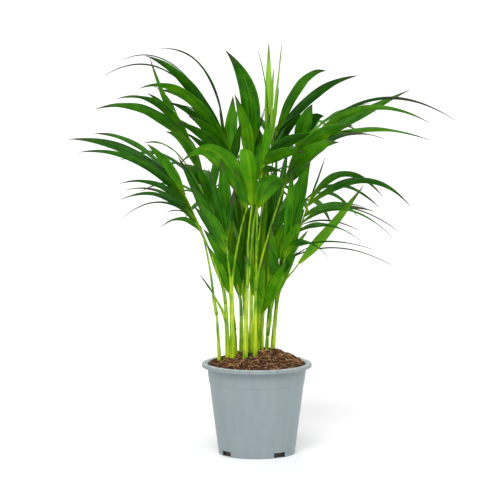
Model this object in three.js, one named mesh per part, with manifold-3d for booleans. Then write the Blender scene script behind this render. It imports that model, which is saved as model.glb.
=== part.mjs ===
// A young areca palm in its nursery pot: a clump of thin stems, each carrying one to three feathered
// fronds, rooted in peat and coir. Millimetres, +Z up, origin at the centre of the pot's underside.
// -Y is the front of the plant.
import * as THREE from "three";
import { mergeVertices } from "three/addons/utils/BufferGeometryUtils.js";
import Module from "manifold-3d";

const wasm = await Module();
wasm.setup();

// Driving dimensions.
const POT = {
  rimRadius: 60,
  neckRadius: 54.3,
  baseRadius: 41.5,
  height: 100,
  lipHeight: 4.2,
  stepBelowRim: 21.5,
  wall: 1.2,
  floor: 1.5,
  footHeight: 4.5,
  padRadius: 24,
  facets: 32,
};
const DRAIN = { count: 4, firstTurn: -53, width: 15, height: 5.8, reach: 9, holeDepth: 6 };
const GAP = 0.3; // between pieces that touch
const SOIL = { level: 97, moundHeight: 14, moundAt: [6, 20], moundSpread: 34, rootDepth: 22, facets: 20 };
const STEM_SIDES = 8;
const RACHIS = { sides: 5, steps: 6, baseRadius: 1.5, tipRadius: 0.8, seat: 2 };
const LEAFLET = { stepLength: 26, mostSteps: 4, halfThickness: 0.45, fold: 0.12, widestAt: 0.35, baseShare: 0.3 };
const UP = new THREE.Vector3(0, 0, 1);

// Each stem: [x, y] where it leaves the soil, its top, and its radii at the soil and the top.
const STEMS = {
  stem_1: { foot: [-40, 2], top: [-45, 0, 168], radii: [2.2, 1.8] },
  stem_2: { foot: [-31, 6], top: [-35, 4, 180], radii: [2.9, 2.4] },
  stem_3: { foot: [-26, -2], top: [-28, -2, 192], radii: [3.5, 2.8] },
  stem_4: { foot: [-17, 19], top: [-17, 21, 165], radii: [2.7, 2.4] },
  stem_5: { foot: [-13, -11], top: [-10, -12, 200], radii: [2.9, 2.3] },
  stem_6: { foot: [-6, 7], top: [-6, 8, 205], radii: [2.7, 2.3] },
  stem_7: { foot: [-2, -4], top: [-1, -5, 196], radii: [2.7, 2.3] },
  stem_8: { foot: [5, 20], top: [5, 20, 142], radii: [3.4, 3] },
  stem_9: { foot: [10, 32], top: [15, 32, 175], radii: [2.4, 2.1] },
  stem_10: { foot: [16, 25], top: [23, 22, 172], radii: [3, 2.5] },
  stem_11: { foot: [-9, 36], top: [-15, 48, 178], radii: [3, 2.5] },
  stem_12: { foot: [3, 44], top: [8, 60, 180], radii: [3, 2.5] },
  stem_13: { foot: [1, 31], top: [2, 37, 188], radii: [2.9, 2.5] },
  stem_14: { foot: [-22, 11], top: [-25, 12, 150], radii: [2.5, 2.1] },
  stem_15: { foot: [1, 11], top: [2, 11, 138], radii: [2.5, 2.1] },
  stem_16: { foot: [-10, 17], top: [-11, 18, 146], radii: [2.5, 2.1] },
  stem_17: { foot: [10, 12], top: [13, 12, 144], radii: [2.3, 2] },
};

// Each frond grows from the top of its stem along a curve pulled towards `bend` and ends at `tip`.
// A leaflet: [place along the curve 0 to 1, tip x, y, z, lift of its arch, width, roll in degrees].
const FRONDS = {
  frond_left_low: {
    stem: "stem_1", bend: [-50, -2, 208], tip: [-61, -6, 250],
    leaflets: [
      [1, -144, -50, 266, 43, 4, 30],
      [0.92, -104, -26, 252, 25, 8, 40],
      [0.96, -98, 26, 262, 20, 5, 30],
      [0.8, -86, 22, 284, 10, 6, 40],
    ],
  },
  frond_left_mid: {
    stem: "stem_2", bend: [-49, -4, 224], tip: [-80, -20, 290],
    leaflets: [
      [0.97, -203, -30, 348, 37, 17, 46],
      [0.88, -190, -70, 338, 42, 10, 42],
      [0.98, -177, 20, 349, 38, 12, 42],
      [0.8, -147, -58, 303, 32, 9, 36],
      [0.74, -141, -86, 299, 30, 5, 30],
      [0.68, -147, -38, 283, 40, 9, 36],
      [0.86, -150, 48, 318, 34, 8, 30],
      [0.99, -118, -52, 345, 14, 11, 45],
    ],
  },
  leaf_low_left: {
    stem: "stem_2", from: [-38, 3, 158], bend: [-43, -2, 167], tip: [-48, -5, 177],
    leaflets: [[1, -62, -10, 198, 2, 5, 10]],
  },
  frond_left_front: {
    stem: "stem_3", bend: [-32, -12, 218], tip: [-33, -20, 240],
    leaflets: [
      [1, -38, -36, 328, 4, 15, 10],
      [0.9, -52, -46, 318, 6, 12, 20],
      [0.8, -66, -60, 284, 14, 10, 30],
      [0.95, -24, -38, 298, 4, 7, -10],
      [0.6, -68, -34, 276, 8, 13, 40],
    ],
  },
  frond_front_left: {
    stem: "stem_3", bend: [-21, -8, 240], tip: [-10, -15, 274],
    leaflets: [
      [1, -85, -76, 323, 76, 26, 35],
      [0.95, -24, -36, 316, 4, 10, 20],
    ],
  },
  frond_left_inner: {
    stem: "stem_4", bend: [-20, 10, 186], tip: [-37, -2, 224],
    leaflets: [
      [1, -85, -20, 328, 10, 13, 50],
      [0.92, -72, -42, 300, 16, 12, 45],
      [0.75, -48, -34, 292, 8, 12, 30],
      [0.85, -62, 16, 300, 8, 10, 45],
      [0.5, -58, -26, 250, 8, 13, 50],
      [0.35, -46, -18, 252, 4, 11, 60],
      [0.2, -10, 2, 262, 4, 9, 20],
      [0.1, -32, -16, 232, 6, 10, 40],
    ],
  },
  frond_left_high: {
    stem: "stem_4", seat: [-1, 2], bend: [-42, 18, 262], tip: [-85, 6, 367],
    leaflets: [
      [0.86, -174, -36, 381, 40, 14, 45],
      [0.94, -116, 20, 431, -18, 11, 55],
      [0.96, -153, 32, 386, 28, 8, 40],
      [0.8, -118, -12, 396, 24, 12, 42],
      [0.7, -99, -40, 357, 26, 9, 38],
      [0.9, -140, -22, 392, 32, 11, 40],
      [1, -112, 46, 398, 14, 9, 35],
      [0.66, -104, 30, 380, 28, 12, 40],
      [0.6, -78, -42, 322, 16, 10, 38],
      [0.5, -66, -24, 318, 14, 11, 38],
      [0.55, -92, 48, 350, 20, 11, 38],
    ],
  },
  frond_left_top: {
    stem: "stem_6", bend: [-15, 24, 275], tip: [-34, 30, 340],
    leaflets: [
      [0.92, -121, 8, 435, 44, 15, 42],
      [1, -105, 48, 440, [22, 0, 58], 7, 35],
      [0.9, -26, 46, 388, 0, 15, 0],
      [0.98, -41, 38, 374, 0, 5, 0],
      [0.8, -18, 2, 362, 4, 13, 20],
      [1, -147, 82, 425, 76, 3, 30],
      [0.86, -127, -10, 401, 64, 14, 40],
      [0.96, -167, 62, 409, 88, 4, 30],
      [0.78, -74, -18, 372, 20, 13, 45],
      [0.94, -108, 52, 394, 34, 13, 42],
      [0.84, -96, 12, 384, 26, 13, 42],
      [0.74, -88, -30, 366, 24, 13, 40],
      [0.9, -80, 62, 376, 22, 12, 38],
      [0.6, -78, 6, 352, 16, 12, 40],
      [0.66, -92, 38, 366, 22, 11, 42],
      [0.88, -22, 98, 366, 20, 10, 10],
    ],
  },
  frond_front: {
    stem: "stem_5", bend: [-10, -17, 245], tip: [-5, -20, 276],
    leaflets: [[1, -15, 0, 332, 44, 22, 0]],
  },
  frond_centre_right: {
    stem: "stem_5", seat: [1.9, 0.5], bend: [-4, -8, 268], tip: [9, -4, 322],
    leaflets: [
      [1, 70, -22, 352, 20, 18, -40],
      [0.96, 52, -34, 334, 14, 17, -40],
      [0.92, 40, 26, 366, 10, 15, -45],
      [0.88, 34, -46, 308, 14, 12, -35],
      [0.8, 2, 32, 356, 6, 14, -10],
      [0.86, 14, 8, 372, 2, 13, 5],
      [0.7, 30, -28, 296, 8, 13, -30],
    ],
  },
  frond_centre_top: {
    stem: "stem_6", seat: [1.8, -0.8], bend: [-4, 12, 272], tip: [-9, 14, 330],
    leaflets: [
      [1, -34, -16, 443, [24, 0, 22], 23, 15],
      [0.9, -24, 0, 394, [8, 0, 0], 18, 10],
      [0.96, 8, 26, 371, 0, 6, 0],
      [0.98, 12, 10, 385, 6, 4, 0],
      [0.8, -2, 84, 352, 26, 11, 10],
    ],
  },
  frond_front_right: {
    stem: "stem_7", seat: [0.4, -2], bend: [-1, -15, 240], tip: [1, -19, 274],
    leaflets: [
      [1, 34, -50, 298, 34, 24, -40],
      [0.96, 20, -26, 312, 6, 13, -15],
    ],
  },
  frond_spear: {
    stem: "stem_7", seat: [-1.2, 2], bend: [5, 18, 262], tip: [14, 24, 345], young: true,
    leaflets: [
      [0.9, 1, 24, 441, [8, 0, 16], 7, 0],
      [0.94, 13, 26, 449, 4, 9, 0],
      [1, 18, 22, 420, 0, 8, 0],
      [0.97, 27, 26, 446, [2, 0, 0], 9, 0],
      [0.92, 24, 34, 398, 0, 8, 0],
    ],
  },
  frond_right_inner: {
    stem: "stem_7", seat: [2, 0.8], bend: [10, 2, 240], tip: [48, 6, 345],
    leaflets: [
      [0.95, 60, -10, 384, 10, 17, -60],
      [1, 73, -2, 370, 18, 18, -40],
      [0.85, 103, -60, 366, 25, 20, -40],
      [0.9, 62, 46, 370, 14, 10, -30],
      [0.75, 58, -44, 322, 8, 13, -40],
      [0.8, 88, -84, 350, 22, 15, -40],
      [0.7, 66, 34, 342, 16, 13, -40],
    ],
  },
  frond_centre_low: {
    stem: "stem_8", bend: [8, 18, 160], tip: [14, 12, 198],
    leaflets: [
      [1, 31, 2, 254, 8, 14, -55],
      [0.9, 18, 10, 264, 4, 11, -60],
      [0.4, 19, -4, 196, 6, 11, -50],
      [0.65, -8, 6, 238, 4, 10, 40],
      [0.25, -14, -22, 222, 6, 11, 30],
      [0.3, 32, -24, 216, 6, 11, -50],
    ],
  },
  frond_right_top: {
    stem: "stem_13", seat: [1, -1.7], bend: [10, 38, 262], tip: [22, 35, 350],
    leaflets: [
      [0.98, 76, 50, 415, 42, 14, -65],
      [0.95, 110, 24, 412, 32, 15, -42],
      [1, 44, 66, 388, 12, 11, -30],
      [0.88, 52, 2, 372, 16, 12, -40],
      [0.8, 30, 104, 352, 30, 11, -10],
      [0.9, -14, 90, 366, 24, 10, 10],
    ],
  },
  frond_inner_right: {
    stem: "stem_13", seat: [-0.6, 1.9], bend: [11, 44, 215], tip: [19, 42, 246],
    leaflets: [
      [1, 34, 48, 330, 4, 14, -60],
      [0.92, 52, 50, 302, 10, 12, -50],
      [0.85, 9, 56, 318, 4, 13, 0],
      [0.7, 38, 32, 272, 8, 12, -50],
      [0.5, -2, 56, 270, 4, 11, 20],
      [0.3, 24, 44, 252, 4, 12, -30],
      [0.95, 22, 40, 334, 2, 14, 10],
      [0.6, 16, 34, 286, 2, 13, 0],
    ],
  },
  frond_right_upper: {
    stem: "stem_9", bend: [27, 16, 258], tip: [70, 0, 357],
    leaflets: [
      [1, 213, -34, 369, 57, 6, -36],
      [0.97, 124, 32, 381, 16, 5, -30],
      [0.94, 166, 10, 398, 3, 15, -52],
      [0.98, 184, -62, 369, 43, 11, -42],
      [0.9, 184, -92, 353, 30, 10, -36],
      [0.86, 136, -110, 356, 26, 7, -30],
      [0.8, 104, -30, 354, 22, 14, -38],
      [0.85, 110, 66, 348, 34, 10, -28],
    ],
  },
  frond_right_single: {
    stem: "stem_9", seat: [1.4, -1.6], bend: [29, 12, 184], tip: [46, -12, 211],
    leaflets: [[1, 115, -46, 300, -4, 13, -42]],
  },
  frond_right_mid: {
    stem: "stem_10", bend: [39, -4, 222], tip: [58, -24, 285],
    leaflets: [
      [0.98, 74, 4, 325, -4, 4, -30],
      [0.95, 136, -30, 286, 56, 12, -42],
      [0.92, 165, -56, 278, [14, 0, 56], 12, -42],
      [0.86, 128, 20, 264, 12, 7, -35],
      [0.82, 115, -98, 282, 18, 8, -36],
      [0.84, 155, 8, 243, 32, 3, -30],
      [0.76, 145, -70, 247, 44, 8, -36],
      [0.74, 110, -20, 248, 15, 4, -30],
      [0.68, 112, -90, 244, 24, 9, -36],
    ],
  },
  frond_right_low: {
    stem: "stem_10", seat: [-1.6, -1.6], bend: [27, 4, 202], tip: [33, -10, 226],
    leaflets: [
      [1, 60, -8, 343, 4, 17, -70],
      [0.9, 39, -18, 318, 4, 12, -70],
      [0.95, 76, -74, 226, 26, 10, -36],
      [0.7, 145, -42, 213, 34, 3, -30],
      [0.6, 57, -20, 230, 4, 3, -20],
      [0.98, 124, -74, 234, 18, 4, -30],
      [0.8, 48, -44, 262, 8, 12, -40],
      [0.35, 45, -24, 240, 4, 12, -60],
      [0.2, 12, -32, 236, 6, 11, 20],
    ],
  },
  frond_inner_left: {
    stem: "stem_11", seat: [0.4, -2], bend: [-18, 44, 205], tip: [-26, 42, 238],
    leaflets: [
      [1, -40, 48, 330, 4, 14, 60],
      [0.92, -58, 50, 300, 10, 12, 50],
      [0.85, -16, 58, 312, 4, 13, 10],
      [0.7, -44, 36, 268, 8, 12, 50],
      [0.5, -8, 60, 262, 4, 11, 10],
      [0.3, -28, 34, 250, 4, 12, 30],
      [0.6, -20, 40, 322, 4, 15, 10],
    ],
  },
  frond_back_left: {
    stem: "stem_11", seat: [-2, 0.6], bend: [-38, 64, 248], tip: [-68, 84, 290],
    leaflets: [
      [1, -150, 98, 312, 38, 10, 30],
      [0.95, -126, 122, 328, 36, 10, 26],
      [0.9, -104, 134, 298, 34, 10, 22],
      [0.84, -82, 148, 334, 36, 10, 18],
      [0.78, -58, 150, 288, 36, 10, 12],
      [0.72, -36, 138, 322, 32, 10, 0],
    ],
  },
  frond_back_left_low: {
    stem: "stem_12", seat: [-2, 0.4], bend: [-22, 72, 232], tip: [-50, 78, 260],
    leaflets: [
      [1, -128, 88, 278, 36, 9, 28],
      [0.95, -104, 106, 266, 34, 9, 24],
      [0.9, -80, 122, 244, 30, 9, 20],
      [0.8, -54, 136, 250, 32, 9, 14],
      [0.7, -28, 138, 236, 30, 9, 0],
    ],
  },
  frond_back: {
    stem: "stem_11", seat: [0.8, 1.9], bend: [-12, 84, 250], tip: [-12, 116, 300],
    spray: { pairs: 4, reach: 74, spread: 55, rise: -8, lift: 34, width: 11 },
  },
  frond_back_high: {
    stem: "stem_12", seat: [-0.4, 2], bend: [8, 82, 264], tip: [8, 96, 326],
    spray: { pairs: 4, reach: 78, spread: 52, rise: 4, lift: 30, width: 11 },
  },
  frond_back_right: {
    stem: "stem_12", seat: [1.9, -0.8], bend: [26, 66, 270], tip: [62, 70, 345],
    leaflets: [
      [1, 132, 84, 366, 28, 10, -30],
      [0.95, 106, 114, 352, 32, 10, -24],
      [0.9, 78, 138, 344, 34, 10, -18],
      [0.84, 50, 150, 338, 34, 10, -10],
      [0.76, 26, 146, 312, 34, 10, 0],
    ],
  },
  frond_back_right_low: {
    stem: "stem_13", seat: [1.9, 0.8], bend: [30, 58, 236], tip: [52, 68, 270],
    leaflets: [
      [1, 136, 86, 260, 42, 9, -28],
      [0.95, 112, 106, 248, 38, 9, -24],
      [0.9, 84, 124, 236, 34, 9, -20],
      [0.8, 58, 136, 246, 32, 9, -12],
      [0.7, 36, 134, 232, 30, 9, 0],
    ],
  },
  frond_low_left: {
    stem: "stem_14", bend: [-28, 10, 172], tip: [-36, 8, 208],
    leaflets: [
      [1, -58, 0, 272, 6, 12, 45],
      [0.9, -46, 20, 282, 4, 12, 45],
      [0.7, -26, 4, 262, 4, 12, 20],
      [0.5, -54, -10, 230, 6, 11, 50],
      [0.3, -34, 14, 232, 4, 11, 40],
    ],
  },
  frond_low_centre: {
    stem: "stem_15", bend: [2, 12, 170], tip: [0, 14, 208],
    leaflets: [
      [1, -6, 22, 296, 2, 15, 10],
      [0.9, 12, 24, 292, 2, 15, -15],
      [0.75, -20, 18, 276, 4, 13, 30],
      [0.6, 20, 6, 252, 4, 12, -40],
      [0.4, -12, 2, 232, 4, 11, 20],
      [0.2, 8, 0, 216, 2, 10, -10],
    ],
  },
  frond_low_inner: {
    stem: "stem_16", bend: [-13, 20, 180], tip: [-17, 24, 218],
    leaflets: [
      [1, -28, 30, 304, 4, 15, 25],
      [0.9, -40, 26, 290, 6, 14, 40],
      [0.8, -12, 34, 290, 2, 14, 0],
      [0.6, -32, 12, 254, 4, 12, 40],
      [0.4, -4, 26, 246, 2, 12, 0],
    ],
  },
  frond_low_right: {
    stem: "stem_17", bend: [17, 10, 174], tip: [26, 6, 208],
    leaflets: [
      [1, 52, -6, 270, 8, 13, -50],
      [0.9, 38, 14, 284, 4, 13, -40],
      [0.75, 56, 12, 244, 8, 12, -45],
      [0.6, 16, -6, 250, 2, 12, 0],
      [0.4, 44, 0, 222, 6, 11, -50],
      [0.25, 14, 4, 218, 2, 11, -10],
    ],
  },
};

// Solids.

function solid(geometry) {
  const bare = new THREE.BufferGeometry().setAttribute("position", geometry.getAttribute("position"));
  bare.setIndex(geometry.index);
  const merged = mergeVertices(bare, 1e-4);
  return new wasm.Manifold(
    new wasm.Mesh({
      numProp: 3,
      vertProperties: merged.getAttribute("position").array,
      triVerts: new Uint32Array(merged.index.array),
    }),
  );
}

function geometryOf(body) {
  const mesh = body.getMesh();
  const geometry = new THREE.BufferGeometry();
  geometry.setAttribute("position", new THREE.BufferAttribute(mesh.vertProperties, 3));
  geometry.setIndex(new THREE.BufferAttribute(mesh.triVerts, 1));
  geometry.computeVertexNormals();
  return geometry;
}

function largest(body) {
  return body.decompose().sort((a, b) => b.volume() - a.volume())[0];
}

// Moves every vertex of an upright cylinder or cone of unit height: place() gets the share of the
// height, and which way round the axis the vertex lies (0, 0 for one on the axis).
function reshape(geometry, place) {
  const position = geometry.getAttribute("position");
  for (let i = 0; i < position.count; i++) {
    const [x, y, z] = [position.getX(i), position.getY(i), position.getZ(i)];
    const out = Math.hypot(x, z);
    const around = out > 1e-6 ? [x / out, z / out] : [0, 0];
    position.setXYZ(i, ...place(y + 0.5, ...around).toArray());
  }
  return geometry;
}

// The frame at u on a curve: the point, the side direction kept near `side`, and the upper normal.
function frameAt(curve, u, side, roll = 0) {
  const point = curve.getPoint(u);
  const tangent = curve.getTangent(u);
  const across = side.clone().addScaledVector(tangent, -side.dot(tangent)).normalize();
  across.applyAxisAngle(tangent, roll);
  return { point, across, normal: across.clone().cross(tangent) };
}

function levelSide(from, to) {
  return to.clone().sub(from).setZ(0).cross(UP).normalize();
}

function rod(curve, side, sides, steps, radiusAt) {
  return solid(
    reshape(new THREE.CylinderGeometry(1, 1, 1, sides, steps), (u, a, b) => {
      const { point, across, normal } = frameAt(curve, u, side);
      const r = radiusAt(u);
      return point.addScaledVector(across, a * r).addScaledVector(normal, b * r);
    }),
  );
}

// Half of the blade's outline, as a share of its full width.
function outline(u) {
  const { widestAt, baseShare } = LEAFLET;
  const swell = baseShare + (1 - baseShare) * Math.sin((Math.min(u / widestAt, 1) * Math.PI) / 2);
  return (swell * (1 - Math.max(0, (u - widestAt) / (1 - widestAt)) ** 1.8)) / 2;
}

function leaflet(rachis, [at, x, y, z, lift, width, roll], grow) {
  const base = rachis.getPoint(at);
  const tip = new THREE.Vector3(x, y, z);
  const bow = new THREE.Vector3(...(Array.isArray(lift) ? lift : [0, 0, lift]));
  const middle = base.clone().lerp(tip, 0.45).add(bow);
  const curve = new THREE.QuadraticBezierCurve3(base, middle, tip);
  const side = levelSide(base, tip);
  const place = (u, a, b) => {
    const { point, across, normal } = frameAt(curve, u, side, THREE.MathUtils.degToRad(roll));
    const half = width * outline(u);
    const thick = LEAFLET.halfThickness * Math.min(1, 4 * (1 - u));
    const bend = (1 - Math.abs(a)) * LEAFLET.fold * half;
    return point
      .addScaledVector(across, a * (half + grow))
      .addScaledVector(normal, bend + b * (thick + grow));
  };
  const steps = Math.min(LEAFLET.mostSteps, Math.ceil(base.distanceTo(tip) / LEAFLET.stepLength));
  return solid(reshape(new THREE.ConeGeometry(1, 1, 4, steps), place));
}

// Leaflets in pairs along the outer part of a rachis, spread to both sides of its heading.
function sprayed(rachis, { pairs, reach, spread, rise, lift, width }) {
  const leaflets = [];
  const heading = rachis.getPoint(1).sub(rachis.getPoint(0));
  const azimuth = Math.atan2(heading.y, heading.x);
  for (let pair = 0; pair < pairs; pair++) {
    const outer = pair / (pairs - 1);
    for (const hand of [-1, 1]) {
      const at = 0.58 + 0.4 * outer + 0.02 * hand;
      const turn = azimuth + hand * THREE.MathUtils.degToRad(spread * (1 - 0.7 * outer));
      const length = reach * (0.8 + 0.2 * Math.sin(2.4 * pair + hand));
      const tip = rachis.getPoint(at);
      tip.add(new THREE.Vector3(length * Math.cos(turn), length * Math.sin(turn), rise * (0.4 + outer)));
      leaflets.push([at, ...tip.toArray(), lift, width * (1 - 0.2 * outer), 18 * hand]);
    }
  }
  return leaflets;
}

// Sub-parts.

function pot() {
  const { rimRadius, neckRadius, baseRadius, height, lipHeight, wall, floor, footHeight } = POT;
  const stepZ = height - POT.stepBelowRim;
  const stepRadius = baseRadius + ((neckRadius - baseRadius) * stepZ) / (height - lipHeight);
  const profile = [
    [0, 0],
    [POT.padRadius, 0],
    [POT.padRadius + 2, footHeight],
    [baseRadius - 3, footHeight],
    [baseRadius - 2.5, 0],
    [baseRadius - 0.6, 0],
    [baseRadius, 0.8],
    [stepRadius - 0.5, stepZ - 0.6],
    [stepRadius + 0.2, stepZ + 0.4],
    [neckRadius, height - lipHeight],
    [neckRadius + 0.1, height - 1.6],
    [rimRadius - wall, height - 1.6],
    [rimRadius - wall, height - lipHeight],
    [rimRadius, height - lipHeight],
    [rimRadius, height - 1],
    [rimRadius - 1, height],
    [neckRadius + 0.6, height],
    [neckRadius - wall, height - 1.4],
    [neckRadius - wall, height - lipHeight],
    [stepRadius + 0.2 - wall, stepZ + 0.4],
    [stepRadius - 0.5 - wall, stepZ - 0.6],
    [baseRadius - wall, footHeight + floor],
    [POT.padRadius + 1, footHeight + floor],
    [POT.padRadius - 1, floor],
    [0, floor],
  ];
  const points = profile.map(([r, z]) => new THREE.Vector2(r, z));
  const shell = new THREE.LatheGeometry(points, POT.facets).rotateX(Math.PI / 2);
  let body = solid(shell);
  for (let k = 0; k < DRAIN.count; k++) {
    const turn = THREE.MathUtils.degToRad(DRAIN.firstTurn + (360 / DRAIN.count) * k);
    body = body.subtract(drainNotch(turn, DRAIN.reach, DRAIN.height));
    body = body.subtract(drainNotch(turn, DRAIN.holeDepth, footHeight + floor + 1, wall + 1.4));
  }
  return body;
}

// A block across the foot ring, or set inwards from it, turned about the pot's axis from the front.
function drainNotch(turn, depth, top, inset = -1) {
  const block = new THREE.BoxGeometry(DRAIN.width, depth, top + 1);
  block.translate(0, inset + depth / 2 - POT.baseRadius, (top - 1) / 2);
  return solid(block.rotateZ(turn));
}

// Height of the peat above its level: a mound at the back right, lumps, and a fall at the wall.
function soilRise(x, y) {
  const [mx, my] = SOIL.moundAt;
  const mound = SOIL.moundHeight * Math.exp(-((x - mx) ** 2 + (y - my) ** 2) / (2 * SOIL.moundSpread ** 2));
  const lumps = 0.9 * Math.sin(x / 5 + 1) * Math.cos(y / 6) + 0.5 * Math.sin(x / 2.3 - y / 3.1);
  const edge = Math.min(1, Math.max(0, (POT.neckRadius - Math.hypot(x, y)) / 14));
  return (mound + lumps) * edge ** 0.7;
}

function soil() {
  const { neckRadius, baseRadius, height, lipHeight, wall, floor, footHeight } = POT;
  const inner = (z) => baseRadius - wall - 1 + ((neckRadius - baseRadius) * z) / (height - lipHeight);
  const bottom = footHeight + floor + GAP;
  const rings = [49, 44, 37, 29, 20, 10];
  const profile = [
    [0, floor + GAP],
    [POT.padRadius - 2, floor + GAP],
    [POT.padRadius + 1, bottom],
    [inner(bottom) - 0.5, bottom],
    [inner(SOIL.level - 6), SOIL.level - 6],
    [inner(SOIL.level), SOIL.level],
    ...rings.map((r) => [r, SOIL.level + 0.5]),
    [0, SOIL.level + 0.5],
  ];
  const points = profile.map(([r, z]) => new THREE.Vector2(r, z));
  const body = new THREE.LatheGeometry(points, SOIL.facets).rotateX(Math.PI / 2);
  const position = body.getAttribute("position");
  for (let i = 0; i < position.count; i++) {
    const [x, y, z] = [position.getX(i), position.getY(i), position.getZ(i)];
    if (z > SOIL.level) position.setZ(i, z + soilRise(x, y));
  }
  return solid(body);
}

function stemCurve({ foot, top }) {
  const end = new THREE.Vector3(...top);
  const start = new THREE.Vector3(...foot, SOIL.level - SOIL.rootDepth);
  const middle = start.clone().lerp(end, 0.5).lerp(new THREE.Vector3(...foot, (start.z + end.z) / 2), 0.6);
  return new THREE.QuadraticBezierCurve3(start, middle, end);
}

function stem(spec, grow = 0) {
  const [low, high] = spec.radii;
  const side = new THREE.Vector3(1, 0, 0);
  const sheath = (u) => low + (high - low) * u + 0.5 * Math.exp(-((u - 0.25) ** 2) / 0.02) + grow;
  return rod(stemCurve(spec), side, STEM_SIDES, 4, sheath);
}

// A petiole is seated on its stem's top: off centre by `seat`, or towards its own heading. A small leaf
// on the stem's side starts at `from`.
function rachisCurve({ stem: name, from, seat, bend, tip }) {
  const top = new THREE.Vector3(...STEMS[name].top);
  const pull = new THREE.Vector3(...bend);
  const heading = pull.clone().sub(top).setZ(0).setLength(RACHIS.seat);
  const offset = seat ? new THREE.Vector3(...seat, 0) : heading;
  const start = from ? new THREE.Vector3(...from) : top.add(offset).setZ(top.z + GAP);
  return new THREE.QuadraticBezierCurve3(start, pull, new THREE.Vector3(...tip));
}

function frond(spec, grow = 0) {
  const curve = rachisCurve(spec);
  const side = levelSide(curve.v0, curve.v2);
  const { baseRadius, tipRadius } = RACHIS;
  const radiusAt = (u) => baseRadius + (tipRadius - baseRadius) * u + grow;
  const rows = spec.leaflets ?? sprayed(curve, spec.spray);
  const blades = rows.map((row) => leaflet(curve, row, grow));
  return blades.reduce((whole, blade) => whole.add(blade), rod(curve, side, RACHIS.sides, RACHIS.steps, radiusAt));
}

function boxesMeet(a, b) {
  const [p, q] = [a.boundingBox(), b.boundingBox()];
  return p.min.every((low, i) => low < q.max[i] && q.min[i] < p.max[i]);
}

// Where two blades cross, the later one is trimmed back to a small gap.
function clearOf(body, obstacles) {
  return largest(
    obstacles.filter((other) => boxesMeet(body, other)).reduce((rest, other) => rest.subtract(other), body),
  );
}

// The plant.

const FINISH = {
  pot: { color: 0x97a5a9, roughness: 0.5, metalness: 0 },
  soil: { color: 0x5a3a22, roughness: 1, metalness: 0 },
  stem: { color: 0x9ccb2a, roughness: 0.45, metalness: 0 },
  leaf: { color: 0x2f7d12, roughness: 0.4, metalness: 0 },
  young: { color: 0x7cb81e, roughness: 0.4, metalness: 0 },
};

const palm = new THREE.Group();

function addPiece(name, body, finish) {
  const mesh = new THREE.Mesh(geometryOf(body), new THREE.MeshStandardMaterial(FINISH[finish]));
  mesh.name = name;
  palm.add(mesh);
}

addPiece("pot", pot(), "pot");

const swollen = Object.values(STEMS).map((spec) => stem(spec, GAP));
addPiece("soil", clearOf(soil(), swollen), "soil");
for (const [name, spec] of Object.entries(STEMS)) addPiece(name, stem(spec), "stem");
for (const [name, spec] of Object.entries(FRONDS)) {
  addPiece(name, clearOf(frond(spec), swollen), spec.young ? "young" : "leaf");
  swollen.push(frond(spec, GAP));
}

export default palm;
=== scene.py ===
# A young feather palm in its nursery pot. The imported model gives the pot's size; every stem and
# frond is grown here along the same plan as its solid, with fine blades.
import math
import random

import bmesh
import bpy
from mathutils import Matrix, Vector, noise


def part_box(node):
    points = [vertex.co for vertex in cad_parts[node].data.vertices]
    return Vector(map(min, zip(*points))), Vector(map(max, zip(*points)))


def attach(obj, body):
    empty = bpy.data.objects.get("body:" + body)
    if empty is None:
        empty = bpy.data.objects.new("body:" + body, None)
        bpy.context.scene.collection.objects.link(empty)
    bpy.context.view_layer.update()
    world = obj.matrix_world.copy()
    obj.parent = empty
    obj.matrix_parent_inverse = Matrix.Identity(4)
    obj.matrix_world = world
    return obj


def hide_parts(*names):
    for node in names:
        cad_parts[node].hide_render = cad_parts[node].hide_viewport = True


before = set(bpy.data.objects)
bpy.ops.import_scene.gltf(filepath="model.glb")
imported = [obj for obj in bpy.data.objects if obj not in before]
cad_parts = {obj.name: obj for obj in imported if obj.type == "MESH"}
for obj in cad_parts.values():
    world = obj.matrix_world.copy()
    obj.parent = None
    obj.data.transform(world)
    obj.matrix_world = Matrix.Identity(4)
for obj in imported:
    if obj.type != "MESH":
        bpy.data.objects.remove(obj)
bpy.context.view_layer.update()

MM = 0.001
UP = Vector((0, 0, 1))
TURN = 2 * math.pi

# The camera looks along +Y from far off and a little above. The distance is in metres.
VIEW_CENTRE = Vector((-7.4, 0, 223.7)) * MM
VIEW_DISTANCE = 4.53
VIEW_ELEVATION = math.radians(7.3)
LENS_MM = 299.7

# Sizes are in millimetres, and places along a piece are shares of its length. Points nearer to each other
# than MERGE are made one.
MERGE = 0.001
GAP = 0.3
# The peat's top is drawn `crust` above its level, in rings `ring` apart, with clods and crumbs on it.
SOIL = {
    "level": 97,
    "mound_height": 14,
    "mound_at": (6, 20),
    "mound_spread": 34,
    "root_depth": 22,
    "crust": 0.5,
    "ring": 0.7,
    "clod": 9,
    "crumb": 3,
    "off_floor": 5,
    "shoulder": 6,
    "facets": 200,
}
# A cane is `slimmer` than its solid, and steps in by `sheath` where each of its sheaths ends.
CANE_FORM = {
    "sides": 16,
    "steps": 60,
    "slimmer": 0.6,
    "swell": 0.25,
    "sheath": 0.22,
    "closes_from": 0.86,
    "closes_by": 0.45,
}
RACHIS = {
    "base_radius": 1.5,
    "tip_radius": 0.8,
    "seat": 2,
    "sheathed": 16,
    "sheathed_share": 0.1,
    "flare": 0.5,
    "sides": 10,
    "steps": 40,
}
# A blade narrower than `thin` dries further down. `shade` is the usual tone, from 0 dark to 1 light.
BLADE = {
    "thickness": 0.35,
    "fold": 0.16,
    "widest_at": 0.35,
    "base_share": 0.3,
    "across": 10,
    "step": 3.5,
    "fewest_steps": 12,
    "least_half": 0.12,
    "thin": 7.6,
    "twist": 12,
    "rib": 0.18,
    "ripple": 0.07,
    "shade": 0.4,
    "shade_spread": 0.22,
}
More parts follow.
